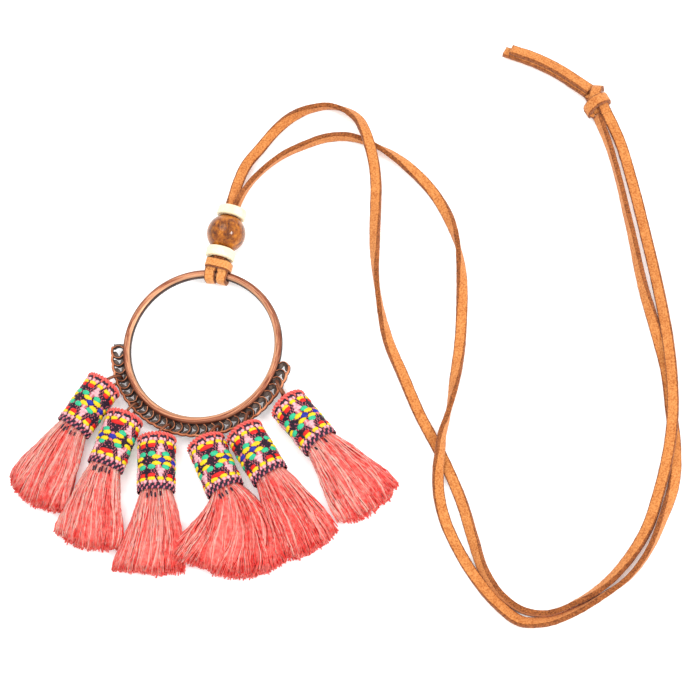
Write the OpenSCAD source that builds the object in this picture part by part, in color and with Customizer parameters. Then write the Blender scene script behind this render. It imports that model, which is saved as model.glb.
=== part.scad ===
// Tassel necklace: a flat lace, a pierced hoop and six tassels with woven cuffs, laid out on a table.
// Millimetres. The origin is on the table under the hoop's centre, X right, Y away, Z up.

/* [Hoop] */
// Outside diameter of the hoop's round bar
hoop_od = 44; // [43.5:0.5:44.5]
// Width of the bar, seen from above
bar_w = 2.2; // [2:0.1:2.4]
// Height of the bar
bar_h = 2.2; // [2:0.1:2.4]
// Rounding of the bar's corners
bar_round = 0.5; // [0.3:0.1:0.7]
// Height of the bar's underside over the table
hoop_lift = 2; // [1.8:0.1:2.2]
// Width of the pierced collar outside the bar
collar_w = 3.3; // [3.2:0.1:3.6]
// Thickness of the collar
collar_t = 1; // [0.8:0.1:1.2]
// Width of the collar's outer rim
rim_w = 0.8; // [0.7:0.1:1]
// Number of gaps in the collar
gap_count = 30; // [30:1:30]
// Width of the ribs between the gaps
rib_w = 1; // [0.9:0.05:1.1]
// How far the ribs bow along the collar
rib_bulge = 0.9; // [0.7:0.1:1]
// Height of the scallops round the rim
scallop_h = 0.25; // [0.1:0.05:0.3]

/* [Jump rings] */
// Outside diameter of a jump ring
ring_od = 6.2; // [6.1:0.1:6.4]
// Wire of a jump ring
ring_wire = 0.8; // [0.7:0.05:0.85]
// Height of the rings' centres over the table
ring_z = 3.4; // [3.35:0.05:3.45]

/* [Tassels] */
// Length of a tassel's woven cuff
cuff_l = 14.8; // [14:0.2:15.6]
// Width of a cuff
cuff_w = 10.5; // [10.2:0.1:10.8]
// Height of a cuff, which lies a little flattened
cuff_h = 7.4; // [7.2:0.1:7.8]
// Wall of a cuff
cuff_wall = 0.9; // [0.8:0.05:1]
// Clearance between a cuff and the threads in it
cuff_gap = 0.1; // [0.05:0.05:0.15]
// Depth of the threads' top below the cuff's mouth
core_depth = 2.2; // [2:0.1:2.6]
// Thread of a tassel's hanging loop
loop_thread = 0.9; // [0.8:0.05:0.9]
// Length of the fringe past the cuff
fringe_l = 22.5; // [21:0.5:24]
// Height of the fringe near the cuff
fringe_h = 6.4; // [6:0.2:7]
// Difference in length between the fringe's locks
fringe_uneven = 0.8; // [0:0.1:1.2]

/* [Beads] */
// Diameter of the wooden bead
bead_d = 10.6; // [10.4:0.1:10.8]
// Bore of the beads
bead_bore = 4.4; // [4.3:0.05:4.6]
// Diameter of the disc beads
disc_d = 8; // [7.6:0.2:8.6]
// Thickness of the disc beads
disc_t = 2.7; // [2.5:0.1:2.8]
// Rounding of the disc beads' rims
disc_round = 0.5; // [0.4:0.1:0.7]

/* [Lace] */
// Width of the flat lace
lace_w = 3; // [2.9:0.05:3.1]
// Thickness of the lace
lace_t = 1.4; // [1.3:0.05:1.45]
// Rounding of the lace's edges
lace_round = 0.3; // [0.2:0.05:0.4]

/* [Hidden] */
$fn = 64;

// colours
copper = [0.78, 0.48, 0.34];
coral = [0.97, 0.45, 0.4];
woven_pink = [0.93, 0.6, 0.62];
brown = [0.55, 0.3, 0.1];
cream = [0.97, 0.94, 0.82];
tan_lace = [0.93, 0.62, 0.33];

// the hoop's derived sizes
bar_r = (hoop_od - bar_w) / 2;
bar_mid_z = hoop_lift + bar_h / 2;
collar_r = hoop_od / 2 + collar_w;
root_in = 0.5;
collar_root = hoop_od / 2 - root_in;
collar_z = bar_mid_z - collar_t / 2;
collar_start = 178.6;
gap_pitch = 5.567;
gap_root = 0.15;
gap_in = hoop_od / 2 + gap_root;
gap_out = collar_r - rim_w;
gap_steps = 8;
gap_neck = 0.55;
scallop_steps = 6;
gap_mid_r = (gap_in + gap_out) / 2;
gap_w = gap_mid_r * gap_pitch * PI / 180 - rib_w;
collar_end = collar_start + gap_count * gap_pitch;

// the jump rings' derived sizes: where in a gap, as a share of its length, the wire goes through
ring_r = (ring_od - ring_wire) / 2;
gap_place = 0.55;
ring_at_r = gap_in + (gap_out - gap_in) * gap_place;

// the tassels' derived sizes
cuff_mid_z = cuff_h / 2;
cuff_sides = 48;
core_w = cuff_w - 2 * cuff_wall - 2 * cuff_gap;
core_h = cuff_h - 2 * cuff_wall - 2 * cuff_gap;
loop_gap = 0.1;
loop_r = (ring_wire + loop_thread) / 2 + loop_gap;
lock_count = 18;
lock_points = 3 * lock_count;
fringe_bend = 0.4;
fringe_flare = 1.25;
fringe_settle = 0.14;
fringe_box = 0.8;
core_crevice = 0.04;
way_step = 0.02;
lock_turn = 137;
tassel_turn = 60;

// columns of the tassels' table, angles in degrees
T_GAP = 0; // number of the gap that its ring goes through
T_RING = 1; // direction of the ring
T_TILT = 2; // lean of the ring
T_IN = 3; // how far the ring reaches past the cuff's mouth, as a share of ring_od
T_CUFF = 4; // direction of the cuff
T_FRINGE = 5; // direction of the fringe
T_LEFT = 6; // half width of the fringe's cut end, left of its way, as a share of fringe_l
T_RIGHT = 7; // the same to the right
T_LAG = 8; // how far the cut end's corners stay back, as a share of fringe_l
tassels = [
  [3, -156, 2, 0.05, -123, -120.7, 0.42, 0.41, 0.1],
  [7, -129, -2, 0.08, -109, -104, 0.41, 0.4, 0.1],
  [12, -131, 2, 0.03, -88, -95, 0.42, 0.42, 0.09],
  [18, -128, 2, -0.04, -65.6, -88, 0.54, 0.55, 0.16],
  [22, -104, -3, -0.04, -58, -62, 0.44, 0.36, 0.12],
  [27, -64.5, 3, -0.28, -50.4, -54.6, 0.44, 0.37, 0.12]
];

// rings of a fringe: place along it, half height as a share of fringe_h, depth of the crevices
F_AT = 0;
F_H = 1;
F_DEEP = 2;
skirt = [
  [0.06, 0.48, 0.1],
  [0.14, 0.5, 0.16],
  [0.28, 0.48, 0.2],
  [0.46, 0.44, 0.22],
  [0.64, 0.4, 0.22],
  [0.82, 0.36, 0.22],
  [1, 0.32, 0.22]
];

// the beads and the hitch: places on the lace's line, from the middle of the bar outward
hitch_at = 81;
lace_dir = 77.5;
hitch_end = 3.75;
bead_gap = 0.05;
hitch_gap = 0.3;
disc_lower_at = hitch_end + hitch_gap + disc_t / 2;
bead_seat = sqrt(pow(bead_d / 2 + disc_round, 2) - pow(bead_bore / 2 + disc_round, 2)) - disc_round;
bead_at = disc_lower_at + disc_t / 2 + bead_gap + bead_seat;
disc_upper_at = bead_at + bead_seat + bead_gap + disc_t / 2;
exit_at = disc_upper_at + disc_t / 2;
bead_z = bead_d / 2;
cut_over = 1;
strand_gap = 0.04;
strand_side = (lace_t + strand_gap) / 2;
wrap_gap = 0.12;
wrap_step = 4.8;
wrap_in_w = bar_w + 2 * wrap_gap;
wrap_in_h = bar_h + 2 * wrap_gap;
band_at = 1.3;
band_l = 2.1;
band_top = 7;
band_low = 1;
band_w = 7.2;
sheet_t = 0.2;
hitch_xy = polar(bar_r, hitch_at);
exit_xy = hitch_xy + polar(exit_at, lace_dir);

// the strands' routes, from the upper disc bead's outer face: x, y, roll in degrees, lift off the table
rows_a = [
  [-0.5, 1.5, 88, 3.4],
  [0.5, 8, 25, 1.8],
  [2.5, 14, 10, 0.8],
  [6.5, 19.5, 15, 0.3],
  [11, 25, 30, 0],
  [15.5, 28.5, 60, 0],
  [20.5, 30.5, 85, 0],
  [25.5, 31, 95, 0],
  [30, 29.5, 115, 0.4],
  [34, 26, 140, 1.6],
  [36, 22, 155, 3.2],
  [37.5, 17.5, 168, 3.4],
  [38.5, 13, 178, 2.2],
  [39, 8, 185, 0.8],
  [39, 1, 193, 0.1],
  [39, -8.5, 212, 0],
  [39.5, -18.5, 250, 0],
  [41, -28.5, 278, 0],
  [43.5, -38.5, 315, 0],
  [47.5, -48, 340, 0],
  [52, -58.5, 354, 0],
  [58.5, -71, 360, 0],
  [64, -84, 370, 0],
  [67, -93, 385, 0],
  [70, -101, 410, 0],
  [74.5, -107.5, 435, 0],
  [80, -111.5, 448, 0],
  [86, -112.5, 456, 0],
  [93, -110, 470, 0],
  [100, -105.5, 488, 0],
  [106.5, -98.5, 505, 0],
  [111.5, -90.5, 522, 0.1],
  [115, -82, 534, 1.2],
  [117.5, -72.5, 537, 2.5],
  [119, -62, 535, 2.5],
  [119, -50.5, 532, 2.4],
  [118, -39.5, 529, 1.5],
  [116, -27, 527, 0.3],
  [112.5, -10, 533, 0],
  [109, 5.5, 538, 0.1],
  [105.5, 18, 540, 0.9],
  [102, 26, 540, 2.1]
];
rows_b = [
  [1.5, 2.5, -90, 3.1],
  [4, 8, -80, 1.6],
  [8, 13, -78, 0.5],
  [13, 17, -86, 0],
  [18.5, 19.5, -93, 0],
  [25, 21.5, -101, 0],
  [31.5, 21.5, -100, 0],
  [37, 19.5, -84, 0],
  [43, 16, -55, 0],
  [49, 11, -24, 0],
  [55.5, 3.5, 4, 0],
  [59.5, -4, 42, 0],
  [62, -12, 88, 0],
  [63, -21, 132, 0],
  [63, -31, 168, 0],
  [62.5, -41, 190, 0],
  [61.5, -49, 213, 0],
  [60.5, -55.5, 248, 0.1],
  [59.5, -60.5, 270, 0.8],
  [58.5, -65, 288, 1.8],
  [58, -70, 303, 1.9],
  [57.5, -75, 320, 1.5],
  [57.5, -80, 333, 0.3],
  [59, -87, 350, 0],
  [62.5, -95, 360, 0],
  [68, -104, 353, 0],
  [73.5, -110.5, 341, 0],
  [79.5, -115, 331, 0],
  [86.5, -115, 321, 0],
  [93.5, -112.5, 308, 0],
  [100.5, -109, 292, 0],
  [107.5, -104, 277, 0],
  [113, -96.5, 266, 0],
  [116.5, -88, 246, 0],
  [119, -79, 210, 0],
  [119.5, -69, 193, 0],
  [118.5, -58.5, 188, 0],
  [117.5, -48, 190, 0],
  [115, -37.5, 199, 0],
  [111.5, -25, 208, 0],
  [108, -8, 208, 0],
  [101.5, 19, 190, 0.1],
  [99.5, 25, 184, 0.2]
];
rows_tail = [
  [97.8, 31.8, 75, 0.8],
  [94.5, 34.5, 78, 0.2],
  [89, 38.5, 80, 0],
  [82.5, 42, 80, 0],
  [75.5, 45, 80, 0]
];
tail_side = 0.8;
pocket_l = 5;
pocket_gap = 0.1;

// lumps of the knot, from the same face as the routes: x, y of both ends, radius, height of the middle
knot_at = [99.6, 28.7];
knot_sides = 24;
knot_lumps = [
  [-0.6, 2.7, 0.6, 2.3, 2, 2.5],
  [1.5, 0.8, -1.6, -1.6, 1.75, 3.2],
  [0, 1, 0.7, -2.2, 2.4, 2.4]
];

// small helpers
function polar(r, a) = [r * cos(a), r * sin(a)];
function mix(a, b, t) = a + (b - a) * t;
function unit(v) = v / norm(v);
function sgn_pow(v, p) = sign(v) * pow(abs(v), p);
function loop_faces(n, m) = [for (i = [0 : m - 2], j = [0 : n - 1], k = [0, 1])
  let (a = i * n + j, b = i * n + (j + 1) % n) k == 0 ? [a, b, b + n] : [a, b + n, a + n]];

// a gap of the collar: its middle's angle and half width at a place between 0 and 1 along it
function gap_angle(k, t) = collar_start + (k + 0.5) * gap_pitch
  + rib_bulge * 4 * t * (1 - t) / mix(gap_in, gap_out, t) * 180 / PI;
function gap_half(t) = gap_w / 2 * (1 - gap_neck * pow(abs(2 * t - 1), 4));
function gap_side(k, t, side) = let (r = mix(gap_in, gap_out, t))
  polar(r, gap_angle(k, t) + side * gap_half(t) / r * 180 / PI);

// where a tassel's ring goes through the collar, where its far wire is, and the middle of its cuff's mouth
function ring_near(k) = polar(ring_at_r, gap_angle(tassels[k][T_GAP], gap_place));
function ring_far(k) = ring_near(k) + polar(2 * ring_r, tassels[k][T_RING]);
function cuff_mouth(k) = ring_far(k) - polar(ring_od * tassels[k][T_IN], tassels[k][T_RING]);
function loop_leg(k) = core_depth - ring_od * tassels[k][T_IN] * cos(tassels[k][T_RING] - tassels[k][T_CUFF]);

// a fringe: line of its middle past the cuff, direction there, half width and middle height
function skirt_mid(k, t) = let (q = cuff_mouth(k) + polar(cuff_l, tassels[k][T_CUFF]),
    c = q + polar(fringe_l * fringe_bend, tassels[k][T_CUFF]),
    e = q + polar(fringe_l, tassels[k][T_FRINGE]))
  q * (1 - t) * (1 - t) + c * 2 * t * (1 - t) + e * t * t;
function skirt_dir(k, t) = unit(skirt_mid(k, t + way_step) - skirt_mid(k, t - way_step));
function skirt_half(k, t, side) = mix(core_w / 2, fringe_l * tassels[k][side], 1 - pow(1 - t, fringe_flare));
function lock_extra(k, j) = fringe_uneven * sin(lock_turn * floor(j / 3) + tassel_turn * k);
// a point of a ring: middle, direction, half widths, half height, middle height, crevice depth, stay back
function lock_point(k, j, mid, dir, wl, wr, hh, zm, deep, lag, extra, box) =
  let (a = 360 * j / lock_points, f = j % 3 == 0 ? 1 - deep : 1,
    u = sgn_pow(cos(a), box), v = sgn_pow(sin(a), box),
    x = u * f * (u > 0 ? wl : wr))
  [mid[0] - dir[1] * x + dir[0] * (extra - lag * u * u),
   mid[1] + dir[0] * x + dir[1] * (extra - lag * u * u), zm + v * f * hh];
function core_ring(k, s) = [for (j = [0 : lock_points - 1])
  lock_point(k, j, cuff_mouth(k) + polar(s, tassels[k][T_CUFF]), polar(1, tassels[k][T_CUFF]),
    core_w / 2, core_w / 2, core_h / 2, cuff_mid_z, core_crevice, 0, 0, 1)];
function skirt_ring(k, r) = let (t = r[F_AT], hh = fringe_h * r[F_H],
    settle = min(1, t / fringe_settle), zm = mix(cuff_mid_z, hh, settle))
  [for (j = [0 : lock_points - 1])
    lock_point(k, j, skirt_mid(k, t), skirt_dir(k, t), skirt_half(k, t, T_LEFT), skirt_half(k, t, T_RIGHT),
      min(hh, zm), zm, r[F_DEEP], fringe_l * tassels[k][T_LAG] * t * t,
      t == 1 ? lock_extra(k, j) : 0, mix(1, fringe_box, settle))];

// a flat lace: the ring of eight points at a row, its middle, and the whole tube
function lace_mid(r) = [r[0], r[1], r[3] + lace_w / 2 * abs(sin(r[2])) + lace_t / 2 * abs(cos(r[2]))];
lace_corners = [
  [lace_w / 2, -lace_t / 2 + lace_round],
  [lace_w / 2, lace_t / 2 - lace_round],
  [lace_w / 2 - lace_round, lace_t / 2],
  [-lace_w / 2 + lace_round, lace_t / 2],
  [-lace_w / 2, lace_t / 2 - lace_round],
  [-lace_w / 2, -lace_t / 2 + lace_round],
  [-lace_w / 2 + lace_round, -lace_t / 2],
  [lace_w / 2 - lace_round, -lace_t / 2]
];
function lace_way(rows, i) = unit(lace_mid(rows[min(len(rows) - 1, i + 1)])
  - lace_mid(rows[max(0, i - 1)]));
function lace_ring(rows, i) = let (p = lace_mid(rows[i]), d = lace_way(rows, i),
    n = unit(cross([0, 0, 1], d)), b = cross(d, n), a = rows[i][2])
  [for (c = lace_corners) p + (n * cos(a) + b * sin(a)) * c[0] + (b * cos(a) - n * sin(a)) * c[1]];
function shift_rows(rows) = [for (r = rows) [r[0] + exit_xy[0], r[1] + exit_xy[1], r[2], r[3]]];
// a row in the beads: place on the lace's line, roll and side
function bead_row(s, roll, side) = let (p = hitch_xy + polar(s, lace_dir) + polar(side, lace_dir + 90))
  [p[0], p[1], roll, bead_z - lace_w / 2];
function strand_rows(rows, roll, side) = concat([bead_row(hitch_end, roll, side),
  bead_row(exit_at - disc_t, roll, side)], shift_rows(rows));
// rows moved sideways, to the left of their way when side is positive
function row_dir(rows, i) = let (a = rows[max(0, i - 1)], b = rows[min(len(rows) - 1, i + 1)])
  unit([b[0] - a[0], b[1] - a[1]]);
function beside(rows, side) = [for (i = [0 : len(rows) - 1]) let (d = row_dir(rows, i))
  [rows[i][0] - d[1] * side, rows[i][1] + d[0] * side, rows[i][2], rows[i][3]]];
function tail_rows(side) = beside(shift_rows(rows_tail), side);

// shared shapes
module round_rect(w, h, r) {
  square([w - 2 * r, h], center = true);
  square([w, h - 2 * r], center = true);
  for (x = [-1, 1], y = [-1, 1])
    translate([x * (w / 2 - r), y * (h / 2 - r)])
      circle(r = r);
}

module lace_tube(rows) {
  n = len(lace_corners);
  m = len(rows);
  polyhedron(
    points = [for (i = [0 : m - 1]) each lace_ring(rows, i)],
    faces = concat([[for (j = [0 : n - 1]) n - 1 - j]], [for (f = loop_faces(n, m)) [f[0], f[1], f[2]]],
      [[for (j = [0 : n - 1]) (m - 1) * n + j]]),
    convexity = 8);
}

// pieces
module hoop() {
  color(copper) {
    translate([0, 0, bar_mid_z])
      rotate_extrude()
        translate([bar_r, 0])
          round_rect(bar_w, bar_h, bar_round);
    translate([0, 0, collar_z])
      linear_extrude(collar_t)
        difference() {
          polygon(concat(
            [for (k = [0 : gap_count - 1], i = [0 : scallop_steps - 1]) let (u = i / scallop_steps)
              polar(collar_r + scallop_h * sin(180 * u), collar_start + (k + u) * gap_pitch)],
            [polar(collar_r, collar_end)],
            [for (k = [0 : gap_count]) polar(collar_root, collar_end - k * gap_pitch)]));
          for (k = [0 : gap_count - 1])
            polygon(concat(
              [for (i = [0 : gap_steps]) gap_side(k, i / gap_steps, -1)],
              [for (i = [0 : gap_steps]) gap_side(k, 1 - i / gap_steps, 1)]));
        }
  }
}

module jump_ring(k) {
  mid = ring_near(k) + polar(ring_r, tassels[k][T_RING]);
  color(copper)
    translate([mid[0], mid[1], ring_z])
      rotate([0, 0, tassels[k][T_RING]])
        rotate([90 + tassels[k][T_TILT], 0, 0])
          rotate_extrude()
            translate([ring_r, 0])
              circle(d = ring_wire);
}

module tassel_loop(k) {
  p = ring_far(k);
  color(coral)
    translate([p[0], p[1], ring_z])
      rotate([0, 0, tassels[k][T_CUFF]]) {
        rotate([0, 0, 90])
          rotate_extrude(angle = 180)
            translate([loop_r, 0])
              circle(d = loop_thread);
        for (side = [-1, 1])
          translate([0, side * loop_r, 0])
            rotate([0, 90, 0])
              cylinder(d = loop_thread, h = loop_leg(k));
      }
}

module tassel_cuff(k) {
  p = cuff_mouth(k);
  color(woven_pink)
    translate([p[0], p[1], cuff_mid_z])
      rotate([0, 0, tassels[k][T_CUFF]])
        rotate([0, 90, 0])
          linear_extrude(cuff_l)
            difference() {
              polygon([for (i = [0 : cuff_sides - 1]) let (a = 360 * i / cuff_sides)
                [cuff_h / 2 * cos(a), cuff_w / 2 * sin(a)]]);
              polygon([for (i = [0 : cuff_sides - 1]) let (a = 360 * i / cuff_sides)
                [(cuff_h / 2 - cuff_wall) * cos(a), (cuff_w / 2 - cuff_wall) * sin(a)]]);
            }
}

module tassel_fringe(k) {
  rings = concat([core_ring(k, core_depth), core_ring(k, cuff_l + cuff_gap)],
    [for (r = skirt) skirt_ring(k, r)]);
  n = lock_points;
  m = len(rings);
  top = cuff_mouth(k) + polar(core_depth, tassels[k][T_CUFF]);
  low = skirt_mid(k, 1);
  color(coral)
    polyhedron(
      points = concat([for (r = rings) each r],
        [[top[0], top[1], cuff_mid_z], [low[0], low[1], fringe_h * skirt[len(skirt) - 1][F_H]]]),
      faces = concat(loop_faces(n, m),
        [for (j = [0 : n - 1]) [m * n, (j + 1) % n, j]],
        [for (j = [0 : n - 1]) [m * n + 1, (m - 1) * n + j, (m - 1) * n + (j + 1) % n]]),
      convexity = 8);
}

module on_lace(s) {
  translate([hitch_xy[0], hitch_xy[1], bead_z])
    rotate([0, 0, lace_dir])
      translate([s, 0, 0])
        rotate([0, 90, 0])
          children();
}

module wood_bead() {
  color(brown)
    on_lace(bead_at)
      difference() {
        sphere(d = bead_d);
        cylinder(d = bead_bore, h = bead_d + 2 * cut_over, center = true);
      }
}

module disc_bead(s) {
  color(cream)
    on_lace(s)
      rotate_extrude()
        translate([(disc_d + bead_bore) / 4, 0])
          round_rect((disc_d - bead_bore) / 2, disc_t, disc_round);
}

module hitch_wrap(side) {
  rotate([0, 0, hitch_at + side * wrap_step])
    translate([bar_r, 0, bar_mid_z])
      rotate([90, 0, 0])
        linear_extrude(lace_w, center = true)
          difference() {
            round_rect(wrap_in_w + 2 * lace_t, wrap_in_h + 2 * lace_t, lace_t);
            round_rect(wrap_in_w, wrap_in_h, lace_round);
          }
}

module lace_hitch() {
  wrap_top = bar_mid_z + wrap_in_h / 2 + lace_t;
  color(tan_lace) {
    hitch_wrap(-1);
    hitch_wrap(1);
    translate([hitch_xy[0], hitch_xy[1], 0])
      rotate([0, 0, lace_dir]) {
        hull() {
          translate([band_at, -lace_w, wrap_top - lace_t])
            cube([sheet_t, 2 * lace_w, lace_t]);
          translate([hitch_end - sheet_t, -lace_t - strand_gap / 2, bead_z - lace_w / 2])
            cube([sheet_t, 2 * lace_t + strand_gap, lace_w]);
        }
        translate([band_at, 0, (band_top + band_low) / 2])
          rotate([90, 0, 90])
            linear_extrude(band_l)
              difference() {
                round_rect(band_w, band_top - band_low, lace_t);
                round_rect(band_w - 2 * lace_t, band_top - band_low - 2 * lace_t, lace_round);
              }
      }
  }
}

module lace_strand_a() {
  color(tan_lace)
    lace_tube(strand_rows(rows_a, 90, strand_side));
}

module lace_strand_b() {
  color(tan_lace)
    lace_tube(strand_rows(rows_b, -90, -strand_side));
}

// the room that a lace takes up from the knot outward, from its first or last row
module lace_pocket(rows, i, start) {
  d = lace_way(rows, i);
  w = lace_w + 2 * pocket_gap;
  t = lace_t + 2 * pocket_gap;
  translate(lace_mid(rows[i]))
    rotate([0, -asin(d[2]), atan2(d[1], d[0])])
      rotate([rows[i][2], 0, 0])
        translate([start, -w / 2, -t / 2])
          cube([pocket_l, w, t]);
}

module lace_knot() {
  color(tan_lace)
    difference() {
      translate([exit_xy[0] + knot_at[0], exit_xy[1] + knot_at[1], 0])
        for (l = knot_lumps)
          hull() {
            translate([l[0], l[1], l[5]])
              sphere(r = l[4], $fn = knot_sides);
            translate([l[2], l[3], l[5]])
              sphere(r = l[4], $fn = knot_sides);
          }
      lace_pocket(shift_rows(rows_a), len(rows_a) - 1, -pocket_l);
      lace_pocket(shift_rows(rows_b), len(rows_b) - 1, -pocket_l);
      lace_pocket(tail_rows(-tail_side), 0, 0);
      lace_pocket(tail_rows(tail_side), 0, 0);
    }
}

module lace_tail(side) {
  color(tan_lace)
    lace_tube(tail_rows(side));
}

hoop();
jump_ring(0);  // jump_ring_1
jump_ring(1);  // jump_ring_2
jump_ring(2);  // jump_ring_3
jump_ring(3);  // jump_ring_4
jump_ring(4);  // jump_ring_5
jump_ring(5);  // jump_ring_6
tassel_loop(0);  // tassel_loop_1
tassel_loop(1);  // tassel_loop_2
tassel_loop(2);  // tassel_loop_3
tassel_loop(3);  // tassel_loop_4
tassel_loop(4);  // tassel_loop_5
tassel_loop(5);  // tassel_loop_6
tassel_cuff(0);  // tassel_cuff_1
tassel_cuff(1);  // tassel_cuff_2
tassel_cuff(2);  // tassel_cuff_3
tassel_cuff(3);  // tassel_cuff_4
tassel_cuff(4);  // tassel_cuff_5
tassel_cuff(5);  // tassel_cuff_6
tassel_fringe(0);  // tassel_fringe_1
tassel_fringe(1);  // tassel_fringe_2
tassel_fringe(2);  // tassel_fringe_3
tassel_fringe(3);  // tassel_fringe_4
tassel_fringe(4);  // tassel_fringe_5
tassel_fringe(5);  // tassel_fringe_6
wood_bead();
disc_bead(disc_lower_at);  // disc_bead_lower
disc_bead(disc_upper_at);  // disc_bead_upper
lace_hitch();
lace_strand_a();
lace_strand_b();
lace_knot();
lace_tail(-tail_side);  // lace_tail_a
lace_tail(tail_side);  // lace_tail_b
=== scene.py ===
import math
from collections import namedtuple
from itertools import groupby
import bpy
import numpy as np
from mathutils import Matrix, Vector


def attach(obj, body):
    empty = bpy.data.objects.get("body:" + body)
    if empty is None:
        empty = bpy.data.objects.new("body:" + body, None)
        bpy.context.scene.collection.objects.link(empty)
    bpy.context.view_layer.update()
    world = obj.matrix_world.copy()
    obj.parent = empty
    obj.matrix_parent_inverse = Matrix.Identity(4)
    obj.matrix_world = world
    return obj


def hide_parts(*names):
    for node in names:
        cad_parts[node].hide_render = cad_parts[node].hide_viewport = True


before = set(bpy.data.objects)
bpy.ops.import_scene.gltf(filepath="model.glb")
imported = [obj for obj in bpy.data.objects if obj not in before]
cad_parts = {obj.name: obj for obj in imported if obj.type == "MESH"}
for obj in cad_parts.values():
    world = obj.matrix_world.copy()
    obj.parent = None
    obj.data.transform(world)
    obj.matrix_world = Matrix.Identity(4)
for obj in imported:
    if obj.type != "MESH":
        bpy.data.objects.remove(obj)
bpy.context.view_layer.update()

MM = 0.001
PI = math.pi
SCENE = bpy.context.scene
UP = np.array([0, 0, 1.0])


def placed(name, data):
    """A new object, linked into the scene."""
    ob = bpy.data.objects.new(name, data)
    SCENE.collection.objects.link(ob)
    return ob


# Camera
VIEW = Vector((0.1543, -0.3052, 0.9397))
TARGET = Vector((0.04006, -0.00089, 0.0))
CAMERA_AWAY, SENSOR, LENS = 0.7, 36.0, 133.4
cam_data = bpy.data.cameras.new("camera")
cam = placed("camera", cam_data)
cam.location = TARGET + VIEW * CAMERA_AWAY
cam.rotation_mode = "QUATERNION"
cam.rotation_quaternion = Vector((0, 0, 1)).rotation_difference(VIEW)
cam_data.sensor_width = SENSOR
cam_data.lens = LENS
cam_data.clip_start = 0.01
cam_data.clip_end = 20.0
SCENE.camera = cam

# The studio is lit so that the floor is near white; the pieces' colours are set down by as much
DIM = 0.85


def srgb(r, g, b):
    out = []
    for c in (r, g, b):
        c /= 255.0
        out.append(DIM * (c / 12.92 if c <= 0.04045 else ((c + 0.055) / 1.055) ** 2.4))
    return (*out, 1.0)


def polar(r, a):
    a = np.radians(a)
    return np.array([r * np.cos(a), r * np.sin(a)])


# Mesh building
class Geo:
    """Points in millimetres and faces of any size, gathered into one mesh."""

    def __init__(self):
        self.points, self.faces, self.mats, self.tints, self.count = [], [], [], [], 0

    def add(self, v, faces, mat=0, tint=0.5):
        """Points, an array of faces or a list of such arrays, and materials for all or for each array."""
        v = np.asarray(v, float).reshape(-1, 3)
        faces = faces if isinstance(faces, list) else [faces]
        mats = mat if isinstance(mat, list) else [mat] * len(faces)
        for f, m in zip(faces, mats):
            self.faces.append(np.asarray(f, int) + self.count)
            self.mats.append(np.broadcast_to(m, len(f)))
        self.points.append(v)
        self.tints.append(np.broadcast_to(tint, len(v)))
        self.count += len(v)

    def build(self, name, mats, replaces):
        v = np.concatenate(self.points) * MM
        v[:, 2] = np.maximum(v[:, 2], 0)
        loops = np.concatenate([f.ravel() for f in self.faces])
        sizes = np.concatenate([np.full(len(f), f.shape[1]) for f in self.faces])
        start = np.concatenate([[0], np.cumsum(sizes)[:-1]])
        me = bpy.data.meshes.new(name)
        me.vertices.add(len(v))
        me.vertices.foreach_set("co", v.astype(np.float32).ravel())
        me.loops.add(len(loops))
        me.loops.foreach_set("vertex_index", loops.astype(np.int32))
        me.polygons.add(len(sizes))
        me.polygons.foreach_set("loop_start", start.astype(np.int32))
        me.polygons.foreach_set("material_index", np.concatenate(self.mats).astype(np.int32))
        me.polygons.foreach_set("use_smooth", np.full(len(sizes), True))
        at = me.attributes.new("tint", "FLOAT", "POINT")
        at.data.foreach_set("value", np.concatenate(self.tints).astype(np.float32))
        me.update(calc_edges=True)
        for m in mats:
            me.materials.append(m)
        ob = placed(name, me)
        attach(ob, "root")
        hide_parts(*replaces)
        return ob


def grid(nu, nv, wrap_u=False, wrap_v=False):
    """Quads of a grid of nu rows of nv points."""
    i = np.arange(nu if wrap_u else nu - 1)
    j = np.arange(nv if wrap_v else nv - 1)
    i, j = np.meshgrid(i, j, indexing="ij")
    i2, j2 = (i + 1) % nu, (j + 1) % nv
    return np.stack([i * nv + j, i * nv + j2, i2 * nv + j2, i2 * nv + j], -1).reshape(-1, 4)


def unit(v):
    return v / np.maximum(np.linalg.norm(v, axis=-1, keepdims=True), 1e-9)


def ways(p, closed=False):
    """Direction at each point of a line, or of each of many open lines."""
    if closed:
        return unit(np.roll(p, -1, 0) - np.roll(p, 1, 0))
    before = np.concatenate([p[..., :1, :], p[..., :-1, :]], -2)
    after = np.concatenate([p[..., 1:, :], p[..., -1:, :]], -2)
    return unit(after - before)


def ends(n, rows):
    """The first and the last of rows of n points, as a face each."""
    return [np.arange(n)[::-1][None], (np.arange(n) + (rows - 1) * n)[None]]


def sweep(p, side, up, section, closed=False):
    """Points of a section (x along side, y along up) carried along a line, and its faces."""
    v = p[:, None] + side[:, None] * section[None, :, :1] + up[:, None] * section[None, :, 1:]
    faces = [grid(len(p), len(section), closed, True)]
    return v.reshape(-1, 3), faces if closed else faces + ends(len(section), len(p))


def strands(g, p, r, tint, sides=3, mat=0):
    """Threads through rows of points, each point with its own half width and shade."""
    d = ways(p)
    side = unit(np.cross(d, UP))
    up = np.cross(side, d)
    n, points = p.shape[:2]
    a = np.radians(90 + np.arange(sides) * 360 / sides)
    ring = np.cos(a)[:, None] * side[:, :, None] + np.sin(a)[:, None] * up[:, :, None]
    v = p[:, :, None] + r[:, :, None, None] * ring
    v[..., 2] = np.maximum(v[..., 2], 0.01)
    first = np.arange(n)[:, None, None] * (points * sides)
    walls = (first + grid(points, sides, False, True)[None]).reshape(-1, 4)
    caps = first[:, 0] + (points - 1) * sides + np.arange(sides)
    g.add(v, [walls, caps], mat, np.repeat(tint.ravel(), sides).clip(0, 1))


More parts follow.
